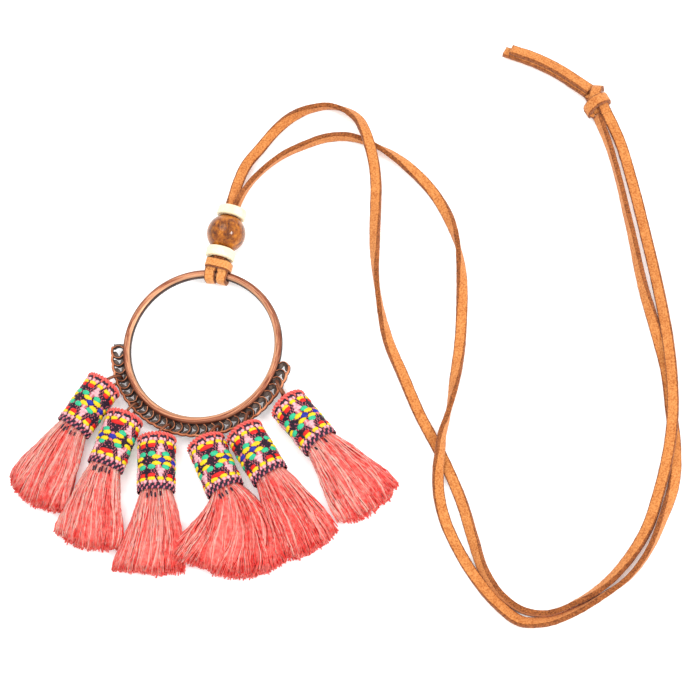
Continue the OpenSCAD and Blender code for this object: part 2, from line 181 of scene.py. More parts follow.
def smooth_rows(rows, step):
    """A smooth line through rows of numbers, whose first two are x and y, sampled about every step."""
    r = np.asarray(rows, float)
    d = np.linalg.norm(np.diff(r[:, :2], axis=0), axis=1)
    s = np.concatenate([[0], np.cumsum(d)])
    slope = np.diff(r, axis=0) / d[:, None]
    m = np.empty_like(r)
    m[1:-1] = (slope[:-1] * d[1:, None] + slope[1:] * d[:-1, None]) / (d[1:] + d[:-1])[:, None]
    m[0], m[-1] = slope[0], slope[-1]
    q = np.linspace(0, s[-1], int(s[-1] / step) + 2)
    i = np.clip(np.searchsorted(s, q, "right") - 1, 0, len(d) - 1)
    h, t = d[i][:, None], ((q - s[i]) / d[i])[:, None]
    return ((2 * t**3 - 3 * t**2 + 1) * r[i] + (t**3 - 2 * t**2 + t) * h * m[i]
            + (-2 * t**3 + 3 * t**2) * r[i + 1] + (t**3 - t**2) * h * m[i + 1])


# Materials
class Mat:
    """A node material, with short calls for the nodes that are used here."""

    def __init__(self, name, **values):
        self.m = bpy.data.materials.new(name)
        self.m.use_nodes = True
        self.nt = self.m.node_tree
        self.b = self.nt.nodes["Principled BSDF"]
        for k, v in values.items():
            self.b.inputs[k.replace("_", " ")].default_value = v

    def node(self, kind, **values):
        n = self.nt.nodes.new(kind)
        for k, v in values.items():
            if k in n.inputs:
                n.inputs[k].default_value = v
            else:
                setattr(n, k, v)
        return n

    def link(self, a, b):
        self.nt.links.new(a, b)

    def coords(self, scale=(1, 1, 1)):
        tc = self.node("ShaderNodeTexCoord")
        mp = self.node("ShaderNodeMapping")
        mp.inputs["Scale"].default_value = scale
        self.link(tc.outputs["Object"], mp.inputs["Vector"])
        return mp.outputs["Vector"]

    def noise(self, scale, detail=3.0, rough=0.55, at=None):
        n = self.node("ShaderNodeTexNoise", Scale=scale, Detail=detail, Roughness=rough)
        self.link(at or self.coords(), n.inputs["Vector"])
        return n.outputs["Fac"]

    def ramp(self, fac, *stops):
        n = self.node("ShaderNodeValToRGB")
        e = n.color_ramp.elements
        while len(e) < len(stops):
            e.new(0.5)
        for x, (at, c) in zip(e, stops):
            x.position, x.color = at, c
        self.link(fac, n.inputs["Fac"])
        return n.outputs["Color"]

    def mix(self, fac, a, b):
        n = self.node("ShaderNodeMix", data_type="RGBA")
        for s, v in ((n.inputs[0], fac), (n.inputs[6], a), (n.inputs[7], b)):
            if hasattr(v, "is_linked"):
                self.link(v, s)
            else:
                s.default_value = v
        return n.outputs[2]

    def tint(self):
        return self.node("ShaderNodeAttribute", attribute_name="tint").outputs["Fac"]

    def colour(self, c):
        self.link(c, self.b.inputs["Base Color"])

    def rough(self, fac, low, high):
        n = self.node("ShaderNodeMapRange")
        n.inputs["To Min"].default_value, n.inputs["To Max"].default_value = low, high
        self.link(fac, n.inputs["Value"])
        self.link(n.outputs["Result"], self.b.inputs["Roughness"])

    def bump(self, height, distance, strength=1.0):
        n = self.node("ShaderNodeBump", Strength=strength, Distance=distance)
        self.link(height, n.inputs["Height"])
        self.link(n.outputs["Normal"], self.b.inputs["Normal"])


def suede(name, light, mid, dark):
    m = Mat(name, Roughness=0.9, Sheen_Weight=0.15, Sheen_Roughness=0.5, Specular_IOR_Level=0.15)
    fine, patch = m.noise(2300, 4), m.noise(330, 3)
    c = m.ramp(fine, (0.38, srgb(*dark)), (0.5, srgb(*mid)), (0.62, srgb(*light)))
    m.colour(m.mix(0.25, c, m.ramp(patch, (0.35, srgb(*dark)), (0.65, srgb(*light)))))
    m.bump(fine, 0.00025, 0.7)
    return m.m


def metal():
    m = Mat("antique_copper", Metallic=1.0)
    big, fine = m.noise(260, 4), m.noise(1900, 3)
    c = m.ramp(big, (0.3, srgb(156, 94, 66)), (0.5, srgb(192, 120, 86)), (0.7, srgb(226, 158, 120)))
    geo = m.node("ShaderNodeNewGeometry")
    worn = m.ramp(geo.outputs["Pointiness"], (0.43, (0, 0, 0, 1)), (0.49, (1, 1, 1, 1)))
    m.colour(m.mix(worn, srgb(92, 58, 48), c))
    m.rough(fine, 0.42, 0.6)
    m.bump(fine, 0.00006, 0.5)
    return m.m


# how much the streaks' noise moves on over the bar's width, and over a metre along it
STREAKS, STREAK_PACE = 12.0, 230.0


def bar_metal():
    """Copper drawn out along the bar: streaks lie along it, with a highlight painted along its inner edge
    and shade painted along its outer edge.
    """
    m = Mat("streaked_copper_painted_light", Metallic=1.0)
    across = m.node("ShaderNodeCombineXYZ")
    m.link(m.tint(), across.inputs["X"])
    spread = m.node("ShaderNodeVectorMath", operation="SCALE", Scale=STREAKS)
    m.link(across.outputs["Vector"], spread.inputs[0])
    place = m.node("ShaderNodeVectorMath", operation="ADD")
    m.link(m.coords((STREAK_PACE,) * 3), place.inputs[0])
    m.link(spread.outputs["Vector"], place.inputs[1])
    streak = m.noise(1.0, 4, 0.6, place.outputs["Vector"])
    c = m.ramp(streak, (0.4, srgb(116, 64, 50)), (0.5, srgb(170, 104, 78)), (0.6, srgb(224, 166, 128)))
    # painted highlight along the bar's inner edge and painted shade along its outer edge, set by each
    # point's place across the bar
    inner = m.ramp(m.tint(), (0.2, (0.6, 0.6, 0.6, 1)), (0.42, (0, 0, 0, 1)))
    outer = m.ramp(m.tint(), (0.5, (0, 0, 0, 1)), (0.85, (0.45, 0.45, 0.45, 1)))
    c = m.mix(inner, c, srgb(238, 186, 146))
    m.colour(m.mix(outer, c, srgb(120, 64, 50)))
    m.rough(m.noise(1900, 3), 0.42, 0.6)
    m.bump(streak, 0.0001, 0.5)
    return m.m


def patina():
    m = Mat("copper_patina", Metallic=0.6)
    big, fine = m.noise(420, 4), m.noise(2400, 3)
    m.colour(m.ramp(big, (0.3, srgb(48, 36, 34)), (0.55, srgb(76, 54, 48)), (0.8, srgb(112, 76, 62))))
    m.rough(fine, 0.5, 0.75)
    m.bump(fine, 0.0001, 0.6)
    return m.m


def aged():
    m = Mat("aged_copper", Metallic=0.25, Roughness=0.7, Specular_IOR_Level=0.25)
    m.colour(m.ramp(m.noise(900, 4), (0.35, srgb(82, 68, 62)), (0.65, srgb(136, 118, 108))))
    return m.m


def thread(name, dark, mid, light, gloss=0.38, soft=0.0):
    """Thread whose points' tint sets its shade; soft is how much light goes into it."""
    m = Mat(name, Roughness=gloss, Specular_IOR_Level=0.3, Subsurface_Weight=soft, Subsurface_Scale=0.0006)
    n = m.noise(900, 3)
    c = m.ramp(m.tint(), (0.05, srgb(*dark)), (0.5, srgb(*mid)), (0.95, srgb(*light)))
    m.colour(m.mix(0.26, c, m.ramp(n, (0.38, srgb(*dark)), (0.64, srgb(*light)))))
    m.bump(n, 0.0001, 0.3)
    return m.m


def floss(name, rgb, amount):
    """Coloured weft, darker in places by amount."""
    m = Mat(name, Roughness=0.42, Specular_IOR_Level=0.3)
    dark = tuple(c * (1 - amount) for c in rgb)
    n = m.noise(1700, 3)
    m.colour(m.ramp(n, (0.3, srgb(*dark)), (0.6, srgb(*rgb))))
    m.bump(n, 0.00012, 0.5)
    return m.m


def wood():
    m = Mat("polished_wood", Roughness=0.42, Specular_IOR_Level=0.1,
            Coat_Weight=0.85, Coat_Roughness=0.06, Coat_IOR=1.38)
    grain, spots = m.noise(1300, 5, 0.7, m.coords((1, 0.45, 1))), m.noise(300, 5, 0.7)
    c = m.ramp(grain, (0.36, srgb(60, 24, 3)), (0.48, srgb(146, 74, 8)), (0.64, srgb(214, 130, 30)))
    m.colour(m.mix(0.5, c, m.ramp(spots, (0.42, srgb(58, 22, 3)), (0.53, srgb(142, 70, 9)),
                                  (0.64, srgb(214, 130, 34)))))
    m.bump(grain, 0.00008, 0.3)
    return m.m


def cream():
    m = Mat("cream_bone", Roughness=0.38, Subsurface_Weight=0.25, Subsurface_Scale=0.002,
            Subsurface_Radius=(1.0, 0.8, 0.5))
    n = m.noise(300, 4)
    m.colour(m.ramp(n, (0.3, srgb(242, 224, 180)), (0.7, srgb(255, 245, 214))))
    m.bump(m.noise(1500), 0.00005, 0.4)
    return m.m


SUEDE_FACE = suede("suede_face", (228, 154, 88), (214, 134, 70), (176, 98, 44))
# a lighter copy of the suede face for the hitch: painted light, to lift the shade that falls on it below the
# bead
SUEDE_LIT = suede("suede_hitch_painted_light", (240, 172, 104), (230, 156, 90), (200, 122, 62))
SUEDE_WALL = suede("suede_wall", (182, 108, 56), (150, 82, 38), (98, 50, 24))
COPPER, PATINA, AGED, BAR_METAL = metal(), patina(), aged(), bar_metal()
CORAL = thread("coral_viscose", (236, 36, 32), (255, 82, 72), (255, 196, 182), 0.3, 0.3)
LOOP_THREAD = thread("coral_cord", (206, 66, 60), (242, 104, 92), (255, 144, 130))
WOOD, CREAM = wood(), cream()
WEFT = {
    "N": floss("weft_navy", (34, 22, 46), 0.3),
    "m": floss("weft_plum", (78, 30, 54), 0.3),
    "p": floss("weft_rose", (222, 116, 132), 0.25),
    "P": floss("weft_pink", (250, 186, 194), 0.22),
    "Y": floss("weft_yellow", (248, 214, 16), 0.12),
    "R": floss("weft_red", (232, 22, 16), 0.15),
    "G": floss("weft_green", (44, 198, 146), 0.15),
    "B": floss("weft_blue", (20, 36, 168), 0.2),
    "c": floss("weft_coral", (244, 104, 96), 0.15),
}
KEYS, WEFT_LIST = list(WEFT), list(WEFT.values())

# The source's sizes, in millimetres
HOOP_OD, BAR_W, BAR_H, HOOP_LIFT = 44.0, 2.2, 2.2, 2.0
BAR_R, BAR_MID_Z = (HOOP_OD - BAR_W) / 2, HOOP_LIFT + BAR_H / 2
COLLAR_R, RIM_W = HOOP_OD / 2 + 3.3, 0.8
GAPS, START, PITCH = 30, 178.6, 5.567
GAP_IN, GAP_OUT, BULGE, SCALLOP = HOOP_OD / 2 + 0.15, COLLAR_R - RIM_W, 0.9, 0.25
RING_OD, RING_WIRE, RING_Z, RING_SHARE = 6.2, 0.8, 3.4, 0.55
RING_R = (RING_OD - RING_WIRE) / 2
RING_AT = GAP_IN + (GAP_OUT - GAP_IN) * RING_SHARE
LOOP_CORD, LOOP_GAP = 0.9, 0.1
CUFF_L, CUFF_W, CUFF_H, CUFF_WALL, CORE_GAP, CORE_DEPTH = 14.8, 10.5, 7.4, 0.9, 0.1, 2.2
CORE_W, CORE_H = CUFF_W - 2 * (CUFF_WALL + CORE_GAP), CUFF_H - 2 * (CUFF_WALL + CORE_GAP)
FRINGE_L, FRINGE_H, BEND = 22.5, 6.4, 0.4
LACE_W, LACE_T, LACE_R = 3.0, 1.4, 0.3
LACE_DIR, HITCH_DIR, HITCH_END, HITCH_GAP, BEAD_Z = 77.5, 81, 3.75, 0.3, 5.3
DISC_T, DISC_D, DISC_EDGE, BORE, BEAD_D, BEAD_GAP = 2.7, 8.0, 0.5, 4.4, 10.6, 0.05
DISC_LOW = HITCH_END + HITCH_GAP + DISC_T / 2
SEAT = math.sqrt((BEAD_D / 2 + DISC_EDGE) ** 2 - (BORE / 2 + DISC_EDGE) ** 2) - DISC_EDGE
BEAD_AT = DISC_LOW + DISC_T / 2 + BEAD_GAP + SEAT
DISC_UP = BEAD_AT + SEAT + BEAD_GAP + DISC_T / 2
EXIT_AT = DISC_UP + DISC_T / 2
STRAND_SIDE = 0.72
HITCH_XY = polar(BAR_R, HITCH_DIR)
EXIT_XY = HITCH_XY + polar(EXIT_AT, LACE_DIR)
LINE = polar(1, LACE_DIR)
ACROSS = polar(1, LACE_DIR + 90)

# Each tassel: its gap of the collar, its ring's way and tilt, how much of the ring is past the mouth,
# the cuff's way and the fringe's, and its sides' widths and lag as shares of the fringe's length
Tassel = namedtuple("Tassel", "gap ring tilt past cuff fringe left right lag")
TASSELS = [
    Tassel(3, -156, 2, 0.05, -123, -120.7, 0.42, 0.41, 0.1),
    Tassel(7, -129, -2, 0.08, -109, -104, 0.41, 0.4, 0.1),
    Tassel(12, -131, 2, 0.03, -88, -95, 0.42, 0.42, 0.09),
    Tassel(18, -128, 2, -0.04, -65.6, -88, 0.54, 0.55, 0.16),
    Tassel(22, -104, -3, -0.04, -58, -62, 0.44, 0.36, 0.12),
    Tassel(27, -64.5, 3, -0.28, -50.4, -54.6, 0.44, 0.37, 0.12),
]

# The lace. Rows of x and y from the beads' exit, the roll in degrees and the lower edge's lift
ROWS_A = [
    [-0.5, 1.5, 34, 3.7], [0.5, 8, 18, 1.8], [2.5, 14, 10, 0.8], [6.5, 19.5, 15, 0.3], [11, 25, 30, 0],
    [15.5, 28.5, 60, 0], [20.5, 30.5, 85, 0], [25.5, 31, 95, 0], [30, 29.5, 115, 0.4], [34, 26, 140, 1.6],
    [36, 22, 155, 3.2], [37.5, 17.5, 168, 3.4], [38.5, 13, 178, 2.2], [39, 8, 185, 0.8], [39, 1, 193, 0.1],
    [39, -8.5, 212, 0], [39.5, -18.5, 250, 0], [41, -28.5, 278, 0], [43.5, -38.5, 315, 0],
    [47.5, -48, 340, 0], [52, -58.5, 354, 0], [58.5, -71, 360, 0], [64, -84, 370, 0], [66.8, -93.2, 385, 0],
    [69.6, -101.4, 410, 0], [74.2, -108.1, 432, 0], [80, -112.2, 444, 0], [86, -113.1, 450, 0],
    [93.1, -110.5, 466, 0], [100.4, -106, 488, 0], [107, -99, 505, 0], [112, -90.8, 522, 0.3],
    [115, -82, 534, 1.2], [117.5, -72.5, 537, 2.5], [119, -62, 535, 2.5], [119, -50.5, 532, 2.4],
    [118, -39.5, 529, 1.5], [116, -27, 527, 0.3], [112.5, -10, 533, 0], [109, 5.5, 538, 0.1],
    [105.5, 18, 540, 0.9], [102, 26, 540, 2.1]]
ROWS_B = [
    [1.5, 2.5, -90, 3.1], [4, 8, -80, 1.6], [8, 13, -78, 0.5], [13, 17, -86, 0], [18.5, 19.5, -93, 0],
    [25, 21.5, -101, 0], [31.5, 21.5, -100, 0], [37, 19.5, -84, 0], [43, 16, -55, 0], [49, 11, -24, 0],
    [55.5, 3.5, 4, 0], [59.5, -4, 42, 0], [62, -12, 88, 0], [63, -21, 132, 0], [63, -31, 168, 0],
    [62.5, -41, 190, 0], [61.5, -49, 213, 0], [60.5, -55.5, 248, 0.1], [59.5, -60.5, 270, 0.8],
    [58.5, -65, 288, 1.8], [58, -70, 303, 1.9], [57.5, -75, 320, 1.5], [57.5, -80, 333, 0.3],
    [59, -87, 350, 0], [62.5, -95, 360, 0], [68, -104, 353, 0], [73.5, -110.5, 341, 0],
    [79.5, -115, 331, 0], [86.5, -115, 321, 0], [93.5, -112.5, 308, 0], [100.3, -108.7, 292, 0],
    [107.2, -103.7, 277, 0], [112.6, -96.4, 266, 0], [116.2, -88, 246, 0], [119, -79, 210, 0],
    [119.5, -69, 193, 0], [118.5, -58.5, 188, 0], [117.4, -48, 178, 0], [115, -37.5, 160, 0],
    [111.7, -25, 134, 0], [108.4, -8, 114, 0], [101.9, 19, 112, 0.1], [99.7, 25, 125, 0.2]]
ROWS_TAIL = [
    [97.8, 31.8, 14, 0.8], [94.5, 34.5, 14, 0.3], [89, 38.7, 15, 0], [82.3, 42.5, 16, 0],
    [74.3, 45.8, 18, 0]]
TAIL_SIDE, TAIL_LIFT, TAIL_SPREAD = 0.4, 1.1, (1.6, -0.7)
KNOT_AT = np.array([99.6, 28.7])
LACE_FUZZ, BAND_FUZZ, LACE_LIFT = 0.025, 0.02, 0.02


def shifted(rows):
    """Rows told from the beads' exit, in the frame's x and y."""
    return [[r[0] + EXIT_XY[0], r[1] + EXIT_XY[1], r[2], r[3]] for r in rows]


def bead_row(s, roll, side):
    """A row inside the beads, s from the bar and to the left by side."""
    p = HITCH_XY + LINE * s + ACROSS * side
    return [p[0], p[1], roll, BEAD_Z - LACE_W / 2]


def strand(rows, roll, side):
    """All of a strand's rows, from the hitch on."""
    return [bead_row(HITCH_END, roll, side), bead_row(EXIT_AT - DISC_T, roll, side)] + shifted(rows)


def beside(rows, side):
    """The same rows, moved to their left by side."""
    r = np.asarray(rows, float)
    d = ways(r[:, :2])
    r[:, 0] -= d[:, 1] * side
    r[:, 1] += d[:, 0] * side
    return r


def rounded(half_w, half_h, r, angles):
    """Points round an oblong with rounded corners, each with its outward angle."""
    for cx, cy, a0 in ((1, 1, 0), (-1, 1, 90), (-1, -1, 180), (1, -1, 270)):
        for a in angles:
            a = math.radians(a0 + a)
            yield cx * (half_w - r) + r * math.cos(a), cy * (half_h - r) + r * math.sin(a), a


def lace_section(w=LACE_W, t=LACE_T, r=LACE_R):
    """Rounded oblong: x is the lace's width. Its faces' numbers: 0 the wide faces, 1 the walls."""
    pts = [(x, y) for x, y, _ in rounded(w / 2, t / 2, r, (0, 45, 90))]
    x, y = (w / 2 - r) * 0.33, t / 2
    pts = pts[:3] + [(x, y), (-x, y)] + pts[3:9] + [(-x, -y), (x, -y)] + pts[9:]
    return np.array(pts), np.array([1, 1, 0, 0, 0, 1, 1, 1] * 2)


def lace_frames(line):
    """Middle, width direction and thickness direction along a line of x, y, roll and lift."""
    roll = np.radians(line[:, 2])
    z = np.maximum(line[:, 3], 0) + LACE_W / 2 * abs(np.sin(roll)) + LACE_T / 2 * abs(np.cos(roll))
    p = np.column_stack([line[:, :2], z])
    d = ways(p)
    n = unit(np.cross(UP, d))
    b = np.cross(d, n)
    c, s = np.cos(roll)[:, None], np.sin(roll)[:, None]
    return p, n * c + b * s, b * c - n * s


def fuzz(v, seed, amount):
    return v + np.random.default_rng(seed).normal(0, amount, v.shape)


def lace(name, rows, node, seed, step=1.1):
    """A run of lace along rows of x, y, roll and lift: its object, and the middle of its route."""
    p, wide, thick = lace_frames(smooth_rows(rows, step))
    section, mats = lace_section()
    v, faces = sweep(p, wide, thick, section)
    v = fuzz(v, seed, LACE_FUZZ)
    v[:, 2] = np.maximum(v[:, 2], LACE_LIFT)
    g = Geo()
    g.add(v, faces, [np.tile(mats, len(p) - 1), 1, 1])
    return g.build(name, [SUEDE_FACE, SUEDE_WALL], [node]), p


strand_a, path_a = lace("strand_a", strand(ROWS_A, 90, STRAND_SIDE), "lace_strand_a", 1)
strand_b, path_b = lace("strand_b", strand(ROWS_B, -90, -STRAND_SIDE), "lace_strand_b", 2)
upper_tail, lower_tail = (beside(shifted(ROWS_TAIL), side) for side in (-TAIL_SIDE, TAIL_SIDE))
upper_tail[:, 3] += TAIL_LIFT
upper_tail[-1, :2] += TAIL_SPREAD
tail_a = lace("tail_a", upper_tail, "lace_tail_a", 3, 0.9)[0]
tail_b = lace("tail_b", lower_tail, "lace_tail_b", 4, 0.9)[0]


# Knot
def smooth_curve(a, step, closed, p):
    """Catmull-Rom curve of values a, spaced by the points p."""
    if closed:
        a, p = (np.vstack([q[-1], q, q[:2]]) for q in (a, p))
    else:
        a, p = (np.vstack([2 * q[0] - q[1], q, 2 * q[-1] - q[-2]]) for q in (a, p))
    out = []
    for i in range(1, len(a) - 2):
        n = max(2, int(round(np.linalg.norm(p[i + 1] - p[i]) / step)))
        t = (np.arange(n) / n)[:, None]
        m0, m1 = (a[i + 1] - a[i - 1]) / 2, (a[i + 2] - a[i]) / 2
        out.append((2 * t**3 - 3 * t**2 + 1) * a[i] + (t**3 - 2 * t**2 + t) * m0
                   + (-2 * t**3 + 3 * t**2) * a[i + 1] + (t**3 - t**2) * m1)
    if not closed:
        out.append(a[-2][None])
    return np.vstack(out)


def band(g, pts, ups, seed, w=LACE_W, t=LACE_T, closed=False, step=0.5):
    """A short run of lace through points, its thickness along ups."""
    pts, ups = np.array(pts, float), np.array(ups, float)
    p = smooth_curve(pts, step, closed, pts)
    u = smooth_curve(ups, step, closed, pts)
    d = ways(p, closed)
    u = unit(u - d * (u * d).sum(1, keepdims=True))
    section, mats = lace_section(w, t)
    v, faces = sweep(p, np.cross(u, d), u, section, closed)
    runs = len(p) if closed else len(p) - 1
    g.add(fuzz(v, seed, BAND_FUZZ), faces, [np.tile(mats, runs)] + [1] * (len(faces) - 1))


# Each turn of the knot: its seed, width and thickness, then rows of a point, from under the knot's
# middle, and the way that the lace's face looks there
KNOT_TURNS = [
    # the turn at the top, from under the crossing band and over to the back
    (11, LACE_W, LACE_T, [
        [-0.9, -0.6, 3.0, -0.2, 0, 1], [-0.4, 1.3, 4.1, -0.1, 0.05, 1], [0.0, 3.0, 3.9, 0, 0.4, 0.9],
        [0.4, 4.2, 2.6, 0.1, 1, 0.4], [0.5, 4.4, 1.0, 0.1, 1, 0]]),
    # the band across the knot, from upper right to lower left
    (12, LACE_W, LACE_T, [
        [2.5, 1.0, 0.9, 1, 0.6, 0], [2.6, 1.1, 2.6, 0.9, 0.5, 0.5], [1.6, 0.4, 4.2, 0.4, 0.2, 1],
        [-0.2, -0.8, 4.8, 0, 0, 1], [-1.6, -1.8, 4.0, -0.5, -0.3, 1], [-2.4, -2.4, 2.3, -0.9, -0.5, 0.4],
        [-2.3, -2.5, 0.9, -1, -0.5, 0]]),
    # the turn under it, to the right strand
    (13, LACE_W, LACE_T, [
        [0.8, 0.8, 2.6, 0.2, 0, 1], [1.6, -0.9, 3.0, 0.2, 0, 1], [2.3, -2.6, 2.9, 0.1, 0, 1],
        [2.7, -3.6, 2.8, 0, 0, 1]]),
    # the inside of the knot
    (14, 3.2, 2.4, [
        [-2.2, 2.6, 1.4, 0, 0, 1], [-0.6, 1.4, 1.9, 0, 0, 1], [0.3, -0.6, 2.0, 0, 0, 1],
        [0.7, -3.0, 1.4, 0, 0, 1]]),
    # the lower left turn
    (15, 2.4, LACE_T, [
        [-2.5, -1.6, 1.9, -0.2, -0.2, 1], [-1.7, -2.7, 1.9, -0.1, -0.2, 1], [-0.5, -3.3, 1.6, 0, -0.2, 1]]),
]


def lace_knot():
    g = Geo()
    for seed, w, t, rows in KNOT_TURNS:
        rows = np.array(rows)
        band(g, rows[:, :3] + [*(EXIT_XY + KNOT_AT), 0], rows[:, 3:], seed, w, t)
    return g.build("lace_knot_turns", [SUEDE_FACE, SUEDE_WALL], ["lace_knot"])


knot = lace_knot()

# Hitch round the bar. The two turns' width, thickness, corners and place either side of the middle
WRAP_W, WRAP_T, WRAP_CORNER, WRAP_TURN = 2.8, 1.15, 0.9, 4.8
WRAP_GAP_OUT, WRAP_GAP_UP = 0.06, 0.12
# each turn's leg up to the bead: place along the lace, to its side and up, then its face's lean and rise
LEG = [(0.6, 1.55, 4.9, 0, 1), (1.8, 1.3175, 5.1, 0.2, 1), (2.9, 0.8525, 5.25, 0.7, 0.7),
       (HITCH_END, 0.75, BEAD_Z, 1, 0.05)]
# the band across both legs: its width, place and slant along the lace, middle, and outer half sizes
CROSS_W, CROSS_AT, CROSS_SLANT, CROSS_Z, CROSS_CORNER = 2.6, 2.35, 0.12, 4.0, 1.5
CROSS_HALF_W, CROSS_HALF_H = 3.6 - LACE_T / 2, 3.0 - LACE_T / 2


def on_lace(s, x, z):
    """A point s along the lace's line, x to its left and z up."""
    return [*(HITCH_XY + LINE * s + ACROSS * x), z]


def wrap(g, side):
    """A turn round the bar to one side of the middle, and its leg."""
    out = polar(1, HITCH_DIR + side * WRAP_TURN)
    half_w, half_h = BAR_W / 2 + WRAP_GAP_OUT + WRAP_T / 2, BAR_H / 2 + WRAP_GAP_UP + WRAP_T / 2
    pts, ups = [], []
    for x, y, a in rounded(half_w, half_h, WRAP_CORNER, (8, 45, 82)):
        pts.append([*(out * (BAR_R + x)), BAR_MID_Z + y])
        ups.append([*(out * math.cos(a)), math.sin(a)])
    band(g, pts, ups, 20 + side, WRAP_W, WRAP_T, closed=True, step=0.35)
    pts = [on_lace(s, side * x, z) for s, x, z, lean, rise in LEG]
    ups = [[*(side * lean * ACROSS), rise] for s, x, z, lean, rise in LEG]
    band(g, pts, ups, 24 + side, WRAP_W, step=0.35)


def hitch():
    g = Geo()
    for side in (-1, 1):
        wrap(g, side)
    pts, ups = [], []
    for x, y, a in rounded(CROSS_HALF_W, CROSS_HALF_H, CROSS_CORNER, (0, 30, 60, 90)):
        pts.append(on_lace(CROSS_AT + CROSS_SLANT * x / CROSS_HALF_W, x, CROSS_Z + y))
        ups.append([*(ACROSS * math.cos(a)), math.sin(a)])
    band(g, pts, ups, 30, w=CROSS_W, closed=True, step=0.4)
    # the hitch's faces take the lighter suede copy, which is painted light
    g.build("lace_hitch_turns", [SUEDE_LIT, SUEDE_WALL], ["lace_hitch"])


hitch()


# Hoop. Its faces' numbers: 0 bright copper, 1 patina, 2 the ribs' slanted walls, 3 the bar's top
def bar(g):
    """The hoop's bar, its section turned about Z."""
    ri, ro, zb, zt = HOOP_OD / 2 - BAR_W + 0.1, HOOP_OD / 2, HOOP_LIFT, HOOP_LIFT + BAR_H
    profile = np.array([
        (ro, zb + 0.5), (ro, zt - 0.8), (ro - 0.08, zt - 0.5), (ro - 0.28, zt - 0.22), (ro - 0.5, zt - 0.07),
        (ro - 0.85, zt), (ri + 0.7, zt), (ri + 0.4, zt - 0.1), (ri + 0.17, zt - 0.3), (ri + 0.04, zt - 0.55),
        (ri, zt - 0.8), (ri, zb + 0.5), (ri + 0.15, zb + 0.15), (ri + 0.5, zb), (ro - 0.5, zb),
        (ro - 0.15, zb + 0.15)])
    kinds = [1, 1] + [3] * 6 + [1] * 8
    a = np.radians(np.linspace(0, 360, 241))
    v = np.stack([np.cos(a)[:, None] * profile[:, 0], np.sin(a)[:, None] * profile[:, 0],
                  np.broadcast_to(profile[:, 1], (len(a), len(profile)))], -1)
    # each point's place across the bar, 0 inside to 1 outside, which sets where the streaked copper's
    # painted highlight and painted shade lie
    share = np.tile((profile[:, 0] - ri) / (ro - ri), len(a))
    g.add(v, grid(len(a), len(profile), False, True), np.tile(kinds, len(a) - 1), share)


def gap_angle(k, t):
    """Way to the middle of gap k, at t of the collar's width."""
    bend = BULGE * 4 * t * (1 - t) / (GAP_IN + (GAP_OUT - GAP_IN) * t)
    return START + (k + 0.5) * PITCH + np.degrees(bend)


# a rib's section, and its faces' numbers; how far it bulges, and the first one the other way
RIB = np.array([
    (0.4, -1.05), (0.34, 0.1), (0.26, 0.52), (0.14, 0.6), (0.04, 0.52), (-0.14, 0.2), (-0.42, -0.2),
    (-0.72, -0.52), (-0.84, -0.58), (-0.92, -0.78), (-0.85, -1.05)])
RIB_KINDS = [1, 1, 0, 0, 1, 2, 2, 2, 1, 1, 1]
RIB_BULGE, FIRST_BULGE, RIB_CURVE, RIB_PAST = 0.8, -0.35, 2.4, 0.12


def rib(g, k):
    """One curved rib of the collar, wider and lower at its two feet."""
    t = np.linspace(-RIB_PAST, 1 + RIB_PAST, 17)
    r = GAP_IN + (GAP_OUT - GAP_IN) * t
    bulge = (RIB_BULGE if k else FIRST_BULGE) * (1 - np.minimum(abs(2 * t - 1), 1) ** RIB_CURVE)
    a = np.radians(START + k * PITCH + np.degrees(bulge / r))
    foot = np.minimum(abs(2 * t - 1) ** 4, 1.4)[:, None, None]
    p = np.column_stack([r * np.cos(a), r * np.sin(a), np.full(len(t), BAR_MID_Z)])
    side = unit(np.cross(UP, ways(p)))
    v = p[:, None] + side[:, None] * RIB[None, :, :1] * (0.9 + 0.4 * foot)
    v = v + UP * RIB[None, :, 1:] * (1 - 0.12 * foot)
    n = len(RIB)
    g.add(v, grid(len(t), n, False, True), np.tile(RIB_KINDS, len(t) - 1))
    g.add(v[[0, -1]], ends(n, 2), 1)


# the scalloped rim, and the seam along the bar, in places along the collar counted in gaps
LOBES = np.arange(GAPS * 8 + 1) / 8.0
RIM_INSET, RIM_HALF_W, RIM_HALF_H, RIM_BRIGHT = 0.42, 0.42, 0.62, 0.6
SEAM_OUT, SEAM_DOWN, SEAM_HALF_W, SEAM_HALF_H, NONE_BRIGHT = 0.1, 0.35, 0.2, 0.4, 2.0


def edge_wire(g, radius, z, w, h, bright):
    """A wire along the collar, copper where its section's slope is past bright."""
    n = 12
    angle = np.radians(START + LOBES * PITCH)
    q = np.radians(np.arange(n) * 360 / n)
    p = np.column_stack([radius * np.cos(angle), radius * np.sin(angle), z])
    side = unit(np.cross(UP, ways(p)))
    v, f = sweep(p, side, np.broadcast_to(UP, p.shape), np.column_stack([w * np.cos(q), h * np.sin(q)]))
    kinds = np.where(np.sin(q + np.radians(15)) > bright, 0, 1)
    g.add(v, f[:1], np.tile(kinds, len(p) - 1))
    g.add(v[np.r_[0:n, -n:0]], ends(n, 2), 1)


def hoop():
    g = Geo()
    bar(g)
    for k in range(GAPS + 1):
        rib(g, k)
    lobe = np.sin(PI * (LOBES % 1.0))
    edge_wire(g, COLLAR_R - RIM_INSET + SCALLOP * lobe, BAR_MID_Z + 0.05 * lobe,
              RIM_HALF_W, RIM_HALF_H, RIM_BRIGHT)
    edge_wire(g, HOOP_OD / 2 + SEAM_OUT, np.full(len(LOBES), BAR_MID_Z - SEAM_DOWN),
              SEAM_HALF_W, SEAM_HALF_H, NONE_BRIGHT)
    g.build("hoop_metal", [COPPER, PATINA, AGED, BAR_METAL], ["hoop"])


hoop()


# Jump rings and thread loops
def ring_near(k):
    return polar(RING_AT, gap_angle(TASSELS[k].gap, RING_SHARE))


def ring_far(k):
    return ring_near(k) + polar(2 * RING_R, TASSELS[k].ring)


